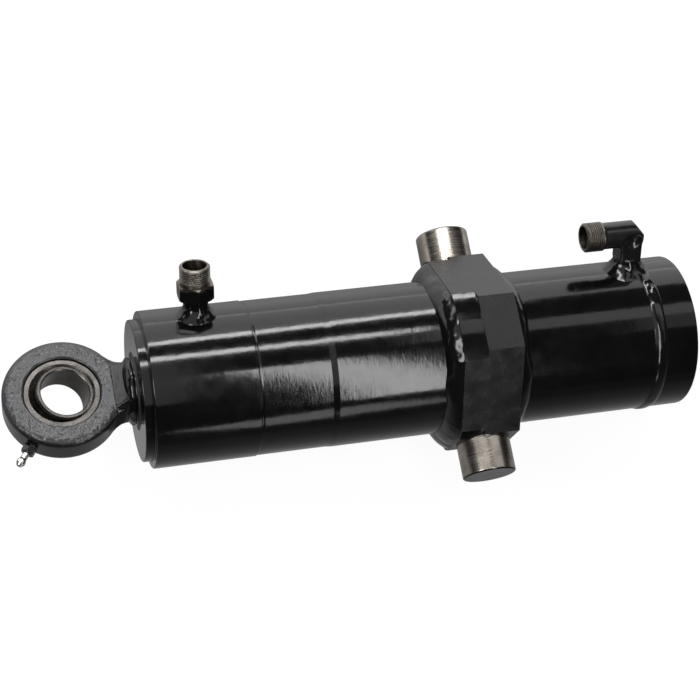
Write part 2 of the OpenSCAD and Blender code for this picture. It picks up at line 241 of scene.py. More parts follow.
def cut(obj, tool, operation="DIFFERENCE"):
    """Cuts the tool's shape out of obj, or with "INTERSECT" keeps only what is inside it."""
    boolean = obj.modifiers.new("cut", "BOOLEAN")
    boolean.operation = operation
    boolean.solver = "EXACT"
    boolean.object = tool
    apply_modifiers(obj)
    bpy.data.objects.remove(tool)
    return obj


def join_flat_faces(obj):
    """Makes one face of all faces that lie in one plane."""
    flat = bmesh.new()
    flat.from_mesh(obj.data)
    bmesh.ops.remove_doubles(flat, verts=flat.verts, dist=1e-5)
    bmesh.ops.dissolve_limit(
        flat, angle_limit=math.radians(0.5), verts=flat.verts, edges=flat.edges
    )
    flat.to_mesh(obj.data)
    flat.free()


def sway(x, y, z, size, seed=0.0):
    """Smooth noise from -1 to 1 whose lumps measure about size."""
    return noise.noise(Vector((x / size + seed, y / size, z / size)))


# ---------------------------------------------------------------- materials
def add(tree, kind, links=None, **settings):
    """Adds a node. links sets its inputs, by name or index, to a socket or a value."""
    made = tree.nodes.new(kind)
    for key, value in settings.items():
        setattr(made, key, value)
    for key, value in (links or {}).items():
        if isinstance(value, bpy.types.NodeSocket):
            tree.links.new(value, made.inputs[key])
        else:
            made.inputs[key].default_value = value
    return made


def per_metre(feature):
    """The noise scale that gives features of this many millimetres."""
    return 1 / (feature * MM)


class Surface:
    """A Principled material whose colour, roughness and bump come from noise in object space."""

    def __init__(self, name, **constants):
        self.material = bpy.data.materials.new(name)
        self.material.use_nodes = True
        self.tree = self.material.node_tree
        self.shader = self.tree.nodes["Principled BSDF"]
        for socket, value in constants.items():
            self.shader.inputs[socket.replace("_", " ")].default_value = value
        self.place = add(self.tree, "ShaderNodeTexCoord").outputs["Object"]
        self.normal = None

    def stretched(self, factors):
        """The object's coordinates, multiplied by these factors."""
        return add(
            self.tree, "ShaderNodeVectorMath", {0: self.place, 1: factors}, operation="MULTIPLY"
        ).outputs[0]

    def noise(self, feature, detail=2.0, stretch=None, roughness=0.5):
        """Noise with features of this size in millimetres."""
        place = self.stretched(stretch) if stretch else self.place
        links = {
            "Vector": place,
            "Scale": per_metre(feature),
            "Detail": detail,
            "Roughness": roughness,
        }
        return add(self.tree, "ShaderNodeTexNoise", links).outputs["Fac"]

    def cells(self, feature, stretch=None):
        """The distance to the nearest of scattered points."""
        place = self.stretched(stretch) if stretch else self.place
        links = {"Vector": place, "Scale": per_metre(feature)}
        return add(self.tree, "ShaderNodeTexVoronoi", links).outputs["Distance"]

    def spread(self, value, low, high, start=0.3, end=0.7):
        """Maps start..end of value to low..high."""
        links = {
            "Value": value,
            "From Min": start,
            "From Max": end,
            "To Min": low,
            "To Max": high,
        }
        return add(self.tree, "ShaderNodeMapRange", links).outputs["Result"]

    def colour(self, value, first, second, start=0.3, end=0.7):
        ramp = add(self.tree, "ShaderNodeValToRGB", {"Fac": value})
        low, high = ramp.color_ramp.elements
        low.position, high.position = start, end
        low.color, high.color = (*first, 1), (*second, 1)
        return ramp.outputs["Color"]

    def bump(self, height, distance, strength=1.0):
        """Raises the surface by up to distance millimetres where height is 1."""
        links = {"Height": height, "Distance": distance * MM, "Strength": strength}
        if self.normal:
            links["Normal"] = self.normal
        self.normal = add(self.tree, "ShaderNodeBump", links).outputs["Normal"]

    def finish(self, colour, roughness):
        self.tree.links.new(colour, self.shader.inputs["Base Color"])
        self.tree.links.new(roughness, self.shader.inputs["Roughness"])
        if self.normal:
            self.tree.links.new(self.normal, self.shader.inputs["Normal"])
        return self.material


def paint(name, peel=0.02, rough=(0.09, 0.15), marks=0.0, grain=0.0, depth=0.0035):
    """Gloss black enamel. marks is the height of turning marks round X, grain that of rough scale
    under the paint."""
    surface = Surface(name, Specular_IOR_Level=0.5)
    surface.bump(surface.noise(14, 2), 0.10)
    surface.bump(surface.noise(2.6, 2), peel)
    if marks:
        surface.bump(surface.noise(1.5, 3, (1, 0.3, 0.3)), marks)
        surface.bump(surface.noise(4, 2, (1, 0.1, 0.1)), marks * 0.7)
    if grain:
        surface.bump(surface.noise(3.2, 4, roughness=0.6), grain)
        surface.bump(surface.cells(2.6), grain * 0.4)
    colour = surface.colour(surface.noise(30, 3), (depth * 0.5,) * 3, (depth, depth, depth * 1.1))
    roughness = surface.spread(surface.noise(9, 4), *rough)
    return surface.finish(colour, roughness)


def bare_steel(name, tint, dark, rough, feature, axis, streaks=0.004):
    """Turned steel. axis is a vector that is 1 along the turning axis and small across it."""
    surface = Surface(name, Metallic=1.0)
    surface.bump(surface.noise(0.5, 2, axis), streaks)
    stain = surface.noise(feature, 4)
    colour = surface.colour(stain, dark, tint, 0.35, 0.62)
    lines = surface.noise(1.2, 3, axis)
    return surface.finish(colour, surface.spread(lines, *rough))


def soft(name, tint, rough=(0.45, 0.65), feature=3.0):
    """Rubber or plastic of a seal."""
    surface = Surface(name)
    surface.bump(surface.noise(0.6, 3), 0.01)
    shade = tuple(c * 0.75 for c in tint)
    colour = surface.colour(surface.noise(feature, 3), shade, tint)
    return surface.finish(colour, surface.spread(surface.noise(1.5, 2), *rough))


ROUND_X, ROUND_Y = (1, 0.02, 0.02), (0.02, 1, 0.02)
enamel = paint("enamel")
enamel_turned = paint("enamel_turned", rough=(0.10, 0.16), marks=0.035)
enamel_cast = paint("enamel_cast", peel=0.05, rough=(0.2, 0.3))
enamel_lathe = paint("enamel_lathe", marks=0.004)
enamel_weld = paint("enamel_weld", peel=0.02, rough=(0.08, 0.16), depth=0.005)
enamel_forged = paint("enamel_forged", peel=0.06, rough=(0.12, 0.22), depth=0.01)
enamel_scale = paint("enamel_scale", peel=0.05, rough=(0.12, 0.22), grain=0.5, depth=0.04)
# Painted reflection: a lighter grey enamel for the pins' end faces, standing in for the floor they
# reflect
enamel_painted_reflection = paint("enamel_painted_reflection", rough=(0.2, 0.3), depth=0.08)
pin_steel = bare_steel(
    "pin_steel", (0.41, 0.37, 0.325), (0.27, 0.243, 0.213), (0.2, 0.3), 12, ROUND_Y, 0.001
)
thread_steel = bare_steel(
    "thread_steel", (0.20, 0.178, 0.155), (0.12, 0.107, 0.095), (0.3, 0.42), 7, (1, 1, 1), 0.001
)
bearing_steel = bare_steel(
    "bearing_steel", (0.13, 0.122, 0.115), (0.085, 0.079, 0.073), (0.25, 0.36), 9, (1, 1, 1), 0.002
)
# Painted shade: a darker bearing steel for the gap between ring and ball and for the ball's bore
bearing_painted_shade = bare_steel(
    "bearing_painted_shade", (0.055, 0.05, 0.045), (0.03, 0.027, 0.025), (0.22, 0.34), 8, (1, 1, 1), 0.002
)
machined = bare_steel("machined", (0.6, 0.59, 0.57), (0.45, 0.44, 0.43), (0.2, 0.3), 12, ROUND_X)
chrome = bare_steel(
    "chrome", (0.8, 0.81, 0.83), (0.72, 0.73, 0.75), (0.05, 0.1), 25, ROUND_X, 0.0008
)
zinc = bare_steel("zinc", (0.82, 0.81, 0.78), (0.6, 0.59, 0.56), (0.14, 0.24), 2.5, (1, 1, 1))
rubber = soft("rubber", (0.022, 0.022, 0.023))
polyurethane = soft("polyurethane", (0.09, 0.16, 0.24), (0.3, 0.45))
resin = soft("resin", (0.42, 0.30, 0.16), (0.5, 0.7), 1.0)
white_plastic = soft("white_plastic", (0.75, 0.72, 0.62), (0.35, 0.5))
# Painted shade: near-black steel inside the port bores
bore_painted_shade = bare_steel(
    "bore_painted_shade", (0.05, 0.04, 0.032), (0.02, 0.018, 0.016), (0.35, 0.6), 4, (1, 1, 1)
)


# ---------------------------------------------------------------- putting pieces in place
def put(obj, body, materials, nodes=(), sharp=35.0, pick=None):
    """Finishes a piece: its materials, smooth shading, body and the nodes it stands for.
    pick(centre) gives the material's index for a face, from its centre in millimetres."""
    obj.data.materials.clear()
    for material in materials:
        obj.data.materials.append(material)
    for face in obj.data.polygons:
        face.material_index = pick(face.center / MM) if pick else 0
        face.use_smooth = True
    obj.data.set_sharp_from_angle(angle=math.radians(sharp))
    normals = obj.modifiers.new("normals", "WEIGHTED_NORMAL")
    normals.keep_sharp = True
    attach(obj, body)
    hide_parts(*nodes)
    return obj


def polar(point):
    """A point in millimetres as (x, distance from the X axis)."""
    return point.x, math.hypot(point.y, point.z)


# ---------------------------------------------------------------- barrel tube and cap
BAND_R = TUBE_R - BAND_DEPTH
tube_outline = rounded([
    (TUBE_FRONT, 52.5, 0.4),
    (TUBE_FRONT, TUBE_R, 1.3),
    *between((TUBE_FRONT + 20, TUBE_R), (LINE_FRONT - 1.2, TUBE_R), 3),
    (LINE_FRONT - 1.2, TUBE_R, 0.3),
    (LINE_FRONT - 0.5, BAND_R - 0.5, 0.2),
    (LINE_FRONT + 0.3, BAND_R - 0.5, 0.2),
    (LINE_FRONT + 1.2, BAND_R, 0.3),
    *between((LINE_FRONT + 10, BAND_R), (LINE_REAR - 4, BAND_R), 3),
    (LINE_REAR - 2.3, BAND_R, 0.4),
    (LINE_REAR + 2.3, TUBE_R, 0.4),
    (LINE_REAR + 20, TUBE_R),
    (-BLOCK_HALF_W, TUBE_R),
    (BLOCK_HALF_W, TUBE_R),
    (TUBE_REAR - 3, TUBE_R, 0.3),
    (TUBE_REAR, TUBE_R - 4.5),
    (TUBE_REAR, BORE_R),
    (TUBE_FRONT + 18, BORE_R),
    (TUBE_FRONT + 18, 52.5),
])
tube = lathe("tube_shell", tube_outline, segments=256)
put(
    tube, "barrel", [enamel_lathe, enamel_turned], ["barrel_tube"],
    pick=lambda c: int(LINE_FRONT < c.x < -BLOCK_HALF_W and polar(c)[1] > 54),
)

cap_outline = rounded([
    (cap_low.x, 0.0),
    (cap_low.x, BORE_R - 0.6),
    (TUBE_REAR + 0.4, BORE_R - 0.6),
    (TUBE_REAR + 0.4, TUBE_R - 4.5),
    (TUBE_REAR + 5.4, TUBE_R, 0.3),
    (CAP_REAR - 8, TUBE_R),
    (CAP_REAR, TUBE_R, 1.6),
    (CAP_REAR, 30),
    (CAP_REAR, 0.0),
])
cap = lathe("cap_body", cap_outline, segments=256)
put(cap, "barrel", [enamel_lathe], ["end_cap"])


# ---------------------------------------------------------------- weld beads
def block_reach(angle):
    """How far the block reaches from the X axis in a direction. angle is a lathe's along X."""
    flats = ((PIN_FACE, 90), (SIDE_FACE, 0), (CHAMFER_OUT, 45), (CHAMFER_OUT, 135))
    reach = [
        out / max(abs(math.cos(angle - math.radians(at))), 0.1) for out, at in flats
    ]
    return min(BLOCK_TURNED_R, *reach)


def block_weld(name, side, lump, climb, seed):
    """The fillet between tube and block. side is -1 at the front and 1 at the rear. climb is the
    share of the block's face that it covers."""
    face = side * (BLOCK_HALF_W - 0.3)
    toe = side * -front_weld_low.x
    steps = 20

    def surface_point(t):
        """Along X and the share of the climb, from the toe, t = 0, to the block's face, t = 1."""
        bulge = math.sin(math.pi * t)
        return toe + (face - toe) * t + side * bulge * 1.0, t + 0.10 * bulge

    outline = [surface_point(i / steps) for i in range(steps + 1)] + [(face, -0.4), (toe, -0.4)]

    def relief(along, share, angle):
        top = (block_reach(angle) - TUBE_R) * climb
        if share < 0:
            return along, TUBE_R + share * 6
        t = (along - toe) / (face - toe)
        y, z = 64 * math.sin(angle), 64 * math.cos(angle)
        height = sway(y, z, t * 9 + seed, 15) + 0.3 * sway(y, z, t * 14, 7, seed)
        height = lump * (height + 0.08 * sway(y, z, t * 16, 3.2, seed))
        wander = 1.7 * sway(y, z, seed, 21)
        swell = math.sin(math.pi * min(max(t, 0), 1)) ** 0.6
        lift = height * swell
        return along + side * (lift * 0.7 + wander * (1 - t)), TUBE_R + share * top + lift * 0.7

    return lathe(name, outline, segments=900, shape=relief)


weld_front = block_weld("weld_bead_front", -1, 1.2, 0.93, 2.0)
put(weld_front, "barrel", [enamel_weld], ["trunnion_weld_front"], sharp=60)
weld_rear = block_weld("weld_bead_rear", 1, 0.6, 0.6, 9.0)
put(weld_rear, "barrel", [enamel_weld], ["trunnion_weld_rear"], sharp=60)

CAP_BEAD_MID = (cap_weld_low.x + cap_weld_high.x) / 2
CAP_BEAD_HALF = (cap_weld_high.x - cap_weld_low.x) / 2 - 0.6
CAP_BEAD_H = cap_weld_high.z - TUBE_R
# Where the cap's bead runs over its own start
BEAD_OVERLAP = math.radians(155)
cap_bead_outline = [
    (CAP_BEAD_MID + CAP_BEAD_HALF * t, TUBE_R + CAP_BEAD_H * (1 - abs(t) ** 2.4) - 0.12)
    for t in [k / 9 - 1 for k in range(19)]
] + [(CAP_BEAD_MID + 2, 54.5), (CAP_BEAD_MID - 2, 54.5)]


def cap_bead_relief(along, radius, angle):
    if radius < 55:
        return along, radius
    ring = TUBE_R * math.cos(angle), TUBE_R * math.sin(angle)
    t = (along - CAP_BEAD_MID) / CAP_BEAD_HALF
    swell = max(0.0, 1 - t * t)
    lumps = 0.5 * sway(ring[0], ring[1], along * 1.2, 14, 4.0)
    overlap = math.exp(-(((angle - BEAD_OVERLAP) / 0.26) ** 2))
    lumps += (0.06 + overlap) * sway(ring[0], ring[1], along * 2, 5, 1.0)
    wander = 1.1 * sway(ring[0], ring[1], 0, 15, 6.0)
    return along + wander, radius + (lumps - 0.2) * swell


cap_bead = lathe("cap_bead", cap_bead_outline, segments=1080, shape=cap_bead_relief)
put(cap_bead, "barrel", [enamel_weld], ["end_cap_weld"], sharp=60)


def port_bead(name, place, foot, neck, top, seed, node):
    """The flared bead round a port. foot is its radius at the tube, neck the one at its top."""
    base = 52.0
    rows = 26

    def flare(t):
        """A hollow curve from the foot, t = 0, to the neck, t = 1."""
        return foot + (neck - foot) * (1 - (1 - t) ** 1.7)

    outline = [(base + (top - base) * k / rows, flare(k / rows)) for k in range(rows + 1)]
    outline += [(top, neck - 2), (base, neck - 2)]

    def relief(along, radius, angle):
        if radius < neck - 1:
            return along, radius
        x, y = math.cos(angle), math.sin(angle)
        lumps = 1.0 * sway(x * 12, y * 12, along, 8, seed)
        lumps += 0.45 * sway(x * 12, y * 12, along, 3.6, seed)
        t = (along - base) / (top - base)
        longer = 1 + 0.13 * (x * x - y * y) * (1 - t)
        return along, radius * longer + lumps * (1 - t * t * 0.8)

    bead = lathe(name, outline, place, 240, relief)
    put(bead, "barrel", [enamel_weld], [node], sharp=60)


port_bead("port_bead_front", AT_FRONT_PORT, 21.0, 9.0, 65.5, 3.0, "front_port_weld")
port_bead("port_bead_rear", AT_REAR_PORT, 23.0, 10.2, 67.0, 8.0, "rear_port_weld")

# ---------------------------------------------------------------- trunnion block and pins
# Where a chamfer meets a side face and a pin face: on a chamfer x + y is CHAMFER_SUM
CHAMFER_SUM = CHAMFER_OUT * math.sqrt(2)
side_corner = SIDE_FACE, CHAMFER_SUM - SIDE_FACE
pin_corner = CHAMFER_SUM - PIN_FACE, PIN_FACE
octagon = [
    (x_sign * x, y_sign * y)
    for x_sign, y_sign, corners in (
        (1, 1, (side_corner, pin_corner)),
        (-1, 1, (pin_corner, side_corner)),
        (-1, -1, (side_corner, pin_corner)),
        (1, -1, (pin_corner, side_corner)),
    )
    for x, y in corners
]
# The polygon's x is the row's -Z and its y the row's Y, because ALONG_X turns Z into X
block = prism("block_body", octagon, -BLOCK_HALF_W, BLOCK_HALF_W, ALONG_X)
turned_front = lathe("turned_front", [
    (-BLOCK_HALF_W - 5, BLOCK_TURNED_R), (TURNED_TO, BLOCK_TURNED_R), (TURNED_TO + 0.8, 90),
    (-BLOCK_HALF_W - 5, 90),
], segments=256)
cut(block, turned_front)
cut(block, lathe("tube_hole", [(-30, 0), (30, 0), (30, TUBE_R - 0.4), (-30, TUBE_R - 0.4)]))
join_flat_faces(block)
soften = block.modifiers.new("edges", "BEVEL")
soften.width = 0.8 * MM
soften.segments = 3
soften.limit_method = "ANGLE"
soften.angle_limit = math.radians(24)
apply_modifiers(block)
put(
    block, "barrel", [enamel_cast, enamel], ["trunnion_block"], sharp=40,
    pick=lambda c: int(c.x < TURNED_TO and polar(c)[1] > BLOCK_TURNED_R - 0.5),
)

pin_outline = rounded([
    (PIN_FACE - 1, 0.0),
    (PIN_FACE - 1, PIN_R - 0.15),
    (PIN_FACE + 0.2, PIN_R - 0.15),
    (PIN_FACE + 0.35, PIN_R),
    (PIN_TIP - 4, PIN_R),
    (PIN_TIP, PIN_R, 1.4),
    (PIN_TIP, 12),
    (PIN_TIP, 0.0),
], 6)
# The end faces take the lighter enamel as a painted reflection; their rounded rims stay black
for end, place in (("upper", UP_PIN), ("lower", DOWN_PIN)):
    pin = lathe(f"pin_{end}", pin_outline, place)
    put(
        pin, "barrel", [pin_steel, enamel, enamel_painted_reflection],
        [f"trunnion_pin_{end}"],
        pick=lambda c: (
            2 if abs(c.y) > PIN_TIP - 0.05 else int(abs(c.y) > PIN_TIP - 1.0)
        ),
    )


# ---------------------------------------------------------------- ports
def threaded(start, end):
    """A shape() for lathe() that cuts a thread between start and end."""
    def shape(along, radius, angle):
        if not (start < along < end and radius > THREAD_R - 0.1):
            return along, radius
        groove = 0.5 - 0.5 * math.cos(2 * math.pi * along / THREAD_PITCH - angle)
        fade = min(1, (along - start) / THREAD_PITCH, (end - along) / (0.6 * THREAD_PITCH))
        return along, radius - 0.6 * THREAD_PITCH * groove * fade
    return shape


def mouth_outline(mouth, thread_start):
    """The outside of a threaded end from thread_start to its mouth, and back down its cone."""
    thread_end = mouth - 1.1
    rows = int((thread_end - thread_start) / (THREAD_PITCH / 16))
    return [
        *between((thread_start, THREAD_R), (thread_end, THREAD_R), rows),
        (thread_end, THREAD_R),
        (mouth - 0.15, THREAD_R - 0.95),
        (mouth, THREAD_R - 1.2),
        (mouth, CONE_R + 0.25),
        (mouth - 0.25, CONE_R),
        (mouth - 10, 6.4),
        (mouth - 10, PORT_BORE_R),
    ]


# Half the hexagon across its flats and across its chamfered corners
HEX_R, HEX_CORNER_R = 12.3, 14.2
stud_thread = threaded(THREAD_FROM + 1.6, PORT_MOUTH - 1.1)


def stud_shape(along, radius, angle):
    """A hexagon with two flats square to X; above it is the thread."""
    if HEX_FROM - 0.5 < along < THREAD_FROM + 0.2 and radius > THREAD_R:
        off_flat = (angle + math.pi / 6) % (math.pi / 3) - math.pi / 6
        return along, min(radius, HEX_R / math.cos(off_flat))
    return stud_thread(along, radius, angle)


stud_outline = [
    (54.6, PORT_BORE_R),
    (54.6, 7.4),
    (58.0, 9.0),
    (HEX_FROM - 1.2, 9.0),
    (HEX_FROM - 0.2, 10.2),
    (HEX_FROM, 11.4),
    *between((HEX_FROM, 12.9), (HEX_FROM + 1.1, HEX_CORNER_R), 5),
    *between((HEX_FROM + 1.1, HEX_CORNER_R), (THREAD_FROM - 1.3, HEX_CORNER_R), 8),
    *between((THREAD_FROM - 1.3, HEX_CORNER_R), (THREAD_FROM, 12.9), 6),
    (THREAD_FROM, 12.9),
    (THREAD_FROM, THREAD_R - 1.3),
    (THREAD_FROM + 1.4, THREAD_R - 1.3),
    *mouth_outline(PORT_MOUTH, THREAD_FROM + 2.0),
]
stud = lathe("stud_body", stud_outline, AT_FRONT_PORT, 240, stud_shape)
INTO_FRONT_PORT = AT_FRONT_PORT.inverted()


def stud_material(centre):
    """Bare above the paint's wavy edge near the top of the hexagon, with painted shade inside the
    bore.
    """
    p = INTO_FRONT_PORT @ centre
    radius = math.hypot(p.x, p.y)
    if radius < CONE_R - 0.1 and p.z > 60:
        return 2
    return int(p.z > THREAD_FROM - 2.0 + 0.7 * sway(p.x, p.y, 0, 6))


put(
    stud, "barrel", [enamel, thread_steel, bore_painted_shade], ["front_port_stud"],
    sharp=50, pick=stud_material,
)

# The elbow's forged body: an upright square bar, a round leg and a slanted outer corner
ELBOW_HALF = 8.4
SIDE_ON = Matrix.Rotation(math.pi / 2, 4, "X")
leg_l = REAR_PORT_X - ELBOW_MOUTH_X
ELBOW_SIDE = ELBOW_HALF - 0.2
elbow_top = ELBOW_H + 4
elbow = prism(
    "elbow_body",
    [(-ELBOW_HALF, 65.5), (ELBOW_HALF, 65.5), (ELBOW_HALF, elbow_top), (-ELBOW_HALF, elbow_top)],
    -ELBOW_SIDE, ELBOW_SIDE, AT_REAR_PORT @ SIDE_ON,
)
leg = lathe(
    "leg", [(-ELBOW_HALF, 0.0), (leg_l - 13, 0.0), (leg_l - 13, LEG_R), (-ELBOW_HALF, LEG_R)],
    ON_ELBOW_LEG,
)
neck = lathe("neck", [(55, 0.0), (68, 0.0), (68, 9.2), (55, 9.2)], AT_REAR_PORT)
merge(elbow, [leg, neck])
forge(elbow, 0.5, 0.5, 2)
cut(elbow, prism(
    "corner", [(ELBOW_HALF + 0.5, ELBOW_H + 1.5), (1.5, ELBOW_H + 11), (20, ELBOW_H + 20)],
    -20, 20, AT_REAR_PORT @ SIDE_ON,
))
DIMPLE_R, DIMPLE_DEPTH = 5.2, 1.3
DIMPLE_H = 82.5
ball_r = (DIMPLE_R**2 + DIMPLE_DEPTH**2) / (2 * DIMPLE_DEPTH)
for side in (-1, 1):
    arc = [
        (ball_r * math.cos(a), ball_r * math.sin(a))
        for a in [math.radians(k * 4) for k in range(12)]
    ]
    out = side * (ELBOW_SIDE + ball_r - DIMPLE_DEPTH)
    at_side = AT_REAR_PORT @ Matrix.Translation((0, out, DIMPLE_H))
    tool = lathe(
        "dimple", [(-a, r) for a, r in arc] + [(0, 0.0)],
        at_side @ Matrix.Rotation(side * -math.pi / 2, 4, "X"), 64,
    )
    cut(elbow, tool)
forge(elbow, 0.42, 0.5, 14)
elbow_end_outline = [
    (leg_l - 30, PORT_BORE_R),
    (leg_l - 30, 8.0),
    (leg_l - 17.5, LEG_R - 0.4),
    (leg_l - 15.5, LEG_R),
    (leg_l - 13.6, THREAD_R),
    *mouth_outline(leg_l, leg_l - 13.4),
]
elbow_thread = threaded(leg_l - 13.4, leg_l - 1.1)
elbow_end = lathe("elbow_end", elbow_end_outline, ON_ELBOW_LEG, 240, elbow_thread)
merge(elbow, [elbow_end])
INTO_LEG = ON_ELBOW_LEG.inverted()


def elbow_material(centre):
    p = INTO_LEG @ centre
    radius = math.hypot(p.x, p.y)
    # Painted shade inside the bore
    if radius < CONE_R - 0.1 and p.z > leg_l - 30:
        return 2
    return int(p.z > leg_l - 13.4 + 1.2 * sway(p.x, p.y, 0, 7))


put(
    elbow, "barrel", [enamel_forged, thread_steel, bore_painted_shade],
    ["rear_port_elbow"], sharp=50, pick=elbow_material,
)

# ---------------------------------------------------------------- gland, wiper and rod
gland_outline = rounded([
    (GLAND_FRONT, 28.6, 0.3),
    (GLAND_FRONT, 33.0),
    (GLAND_FRONT, 50.0),
    (GLAND_FRONT, 51.8, 0.9),
    (TUBE_FRONT - 0.2, 51.8),
    (TUBE_FRONT + 0.3, 52.4),
    (TUBE_FRONT + 80, 52.4),
    (TUBE_FRONT + 80, 25.4),
    (GLAND_FRONT + 7.5, 25.4),
    (GLAND_FRONT + 7.5, 28.6),
])
gland = lathe("gland_body", gland_outline, segments=256)
put(gland, "barrel", [enamel], ["gland"])

wiper_outline = rounded([
    (GLAND_FRONT + 7.4, 28.4),
    (GLAND_FRONT + 7.4, 25.6),
    (GLAND_FRONT + 2.0, 25.6),
    (GLAND_FRONT - 0.8, 25.06, 0.1),
    (GLAND_FRONT - 0.8, 25.7, 0.2),
    (GLAND_FRONT + 0.6, 26.8, 0.3),
    (GLAND_FRONT + 0.4, 28.4, 0.3),
])
wiper = lathe("wiper_lip", wiper_outline)
put(wiper, "barrel", [rubber], ["rod_wiper"])

rod_outline = rounded([
    (rod_low.x, 0.0),
    (rod_low.x, 9.9, 0.6),
    (ROD_FRONT, 9.9),
    (ROD_FRONT, ROD_R, 1.0),
    (GLAND_FRONT + 0.8, ROD_R),
    (ROD_FRONT + 40, ROD_R),
    (PISTON_FRONT, ROD_R, 0.3),
    (PISTON_FRONT, 20.0),
    (PISTON_FRONT + 50, 20.0),
    (PISTON_FRONT + 50, 18.0),
    (rod_high.x, 18.0, 1.2),
    (rod_high.x, 0.0),
])
rod = lathe("rod_bar", rod_outline)
# The few millimetres that stood out of the gland were painted with the rest
put(
    rod, "rod_assembly", [chrome, enamel], ["piston_rod"],
    pick=lambda c: int(c.x < GLAND_FRONT + 0.8),
)

# ---------------------------------------------------------------- rod eye
NECK_R, FLAT_END, FLARE = 19.5, EYE_FOOT - 14.4, 8.7
eye = lathe("eye_body", rounded([
    (-EYE_HALF, 0.0), (-EYE_HALF, EYE_R, 5.0), (EYE_HALF, EYE_R, 5.0), (EYE_HALF, 0.0),
], 6), AT_EYE, 160)


def squarish(along, radius, angle):
    """The neck's section is between a circle and a square."""
    if radius < 1:
        return along, radius
    power = 3.4
    spread = (abs(math.cos(angle)) ** power + abs(math.sin(angle)) ** power) ** (1 / power)
    return along, radius / spread


neck_bar = lathe(
    "neck_bar", [(10, 0.0), (EYE_FOOT, 0.0), (EYE_FOOT, NECK_R), (10, NECK_R)],
    AT_EYE @ ALONG_X, 160, squarish,
)
cut(neck_bar, prism("wedge", [
    (0, -EYE_HALF), (FLAT_END, -EYE_HALF), (EYE_FOOT + 1, -EYE_HALF - FLARE),
    (EYE_FOOT + 1, EYE_HALF + FLARE), (FLAT_END, EYE_HALF), (0, EYE_HALF),
], -30, 30, AT_EYE @ SIDE_ON), "INTERSECT")
# Webs that sweep the round eye into the neck, each an arc that touches both
WEB_R = 15.0
web_x = math.sqrt((EYE_R + WEB_R) ** 2 - (NECK_R + WEB_R) ** 2)
webs = []
for side in (-1, 1):
    first = math.atan2(-(NECK_R + WEB_R), -web_x)
    arc = [
        (web_x + WEB_R * math.cos(a), side * (NECK_R + WEB_R + WEB_R * math.sin(a)))
        for a in [first + (-math.pi / 2 - first) * k / 8 for k in range(9)]
    ]
    webs.append(prism("web", [*arc, (web_x, 0), (20, 0)], -EYE_HALF + 2, EYE_HALF - 2, AT_EYE))
merge(eye, [neck_bar, *webs])
forge(eye, 0.8, 0.5, 5)


def roughen(obj, place, height):
    """Gives the two flat faces the uneven skin of forging scale."""
    into = place.inverted()
    for vertex in obj.data.vertices:
        p = into @ (vertex.co / MM)
        flatness = min(max((abs(p.z) - EYE_HALF + 1.5) / 1.2, 0), 1)
        if p.x > FLAT_END - 2 or abs(p.z) > EYE_HALF + 0.6:
            flatness = 0
        lift = height * (sway(*p, 3.0) + 0.7 * sway(*p, 1.6, 5) + 0.8 * sway(*p, 9, 2))
        up = place.to_3x3() @ Vector((0, 0, 1 if p.z > 0 else -1))
        vertex.co += up * (lift * flatness) * MM


roughen(eye, AT_EYE, 0.34)
seat = lathe("seat", [
    (-EYE_HALF - 3, 0.0), (EYE_HALF + 3, 0.0), (EYE_HALF + 3, RING_R + 4.1),
    (EYE_HALF - 1.1, RING_R), (-EYE_HALF + 1.1, RING_R), (-EYE_HALF - 3, RING_R + 4.1),
], AT_EYE, 192)
cut(eye, seat)
foot_cut = lathe("foot_cut", [
    (EYE_FOOT - 5.2, 0.0), (EYE_FOOT + 6, 0.0), (EYE_FOOT + 6, 40), (EYE_FOOT - 0.05, 40),
    (EYE_FOOT - 0.05, 10), (EYE_FOOT - 5.2, 10),
], AT_EYE @ ALONG_X)
cut(eye, foot_cut)
INTO_EYE = AT_EYE.inverted()


def eye_material(centre):
    """Rough scale on the flat faces, smoother forged skin elsewhere."""
    p = INTO_EYE @ centre
    return int(abs(p.z) > EYE_HALF - 2.2 and abs(p.z) < EYE_HALF + 0.8 and p.x < FLAT_END)


put(
    eye, "rod_assembly", [enamel_forged, enamel_scale], ["rod_eye"],
    pick=eye_material,
)

foot_bead = lathe("foot_bead", [
    (EYE_FOOT - 7, 17.0), (EYE_FOOT - 6.4, 19.6), (EYE_FOOT - 5.2, 21.6), (EYE_FOOT - 4.0, 22.6),
    (EYE_FOOT - 3.2, 23.6), (EYE_FOOT - 2.2, 24.4), (EYE_FOOT - 1.0, 24.7),
    (EYE_FOOT - 0.05, 24.3), (EYE_FOOT - 0.05, 17.0),
], AT_EYE @ ALONG_X, 360, lambda along, radius, angle: (
    along, radius + (0.9 * sway(12 * math.cos(angle), 12 * math.sin(angle), along, 3.2, 5.0)
                     if radius > 18 else 0)
))
put(foot_bead, "rod_assembly", [enamel_weld], sharp=60)

ring_arc = [
    (BALL_R * math.sin(a), BALL_R * math.cos(a) + 0.05)
    for a in [math.radians(-22 + 44 * k / 16) for k in range(17)]
]
ring = lathe("bearing_ring", rounded([
    (RING_HALF, 23.4, 0.3), (RING_HALF, RING_R - 0.02, 0.9), (-RING_HALF, RING_R - 0.02, 0.9),
    (-RING_HALF, 23.4, 0.3),
]) + ring_arc, AT_EYE)


def ring_material(centre):
    """Painted shade: darker steel beside the ball."""
    p = INTO_EYE @ centre
    return int(math.hypot(p.x, p.y) < 23.35)


put(
    ring, "rod_assembly", [bearing_steel, bearing_painted_shade],
    ["bearing_outer_ring"], pick=ring_material,
)

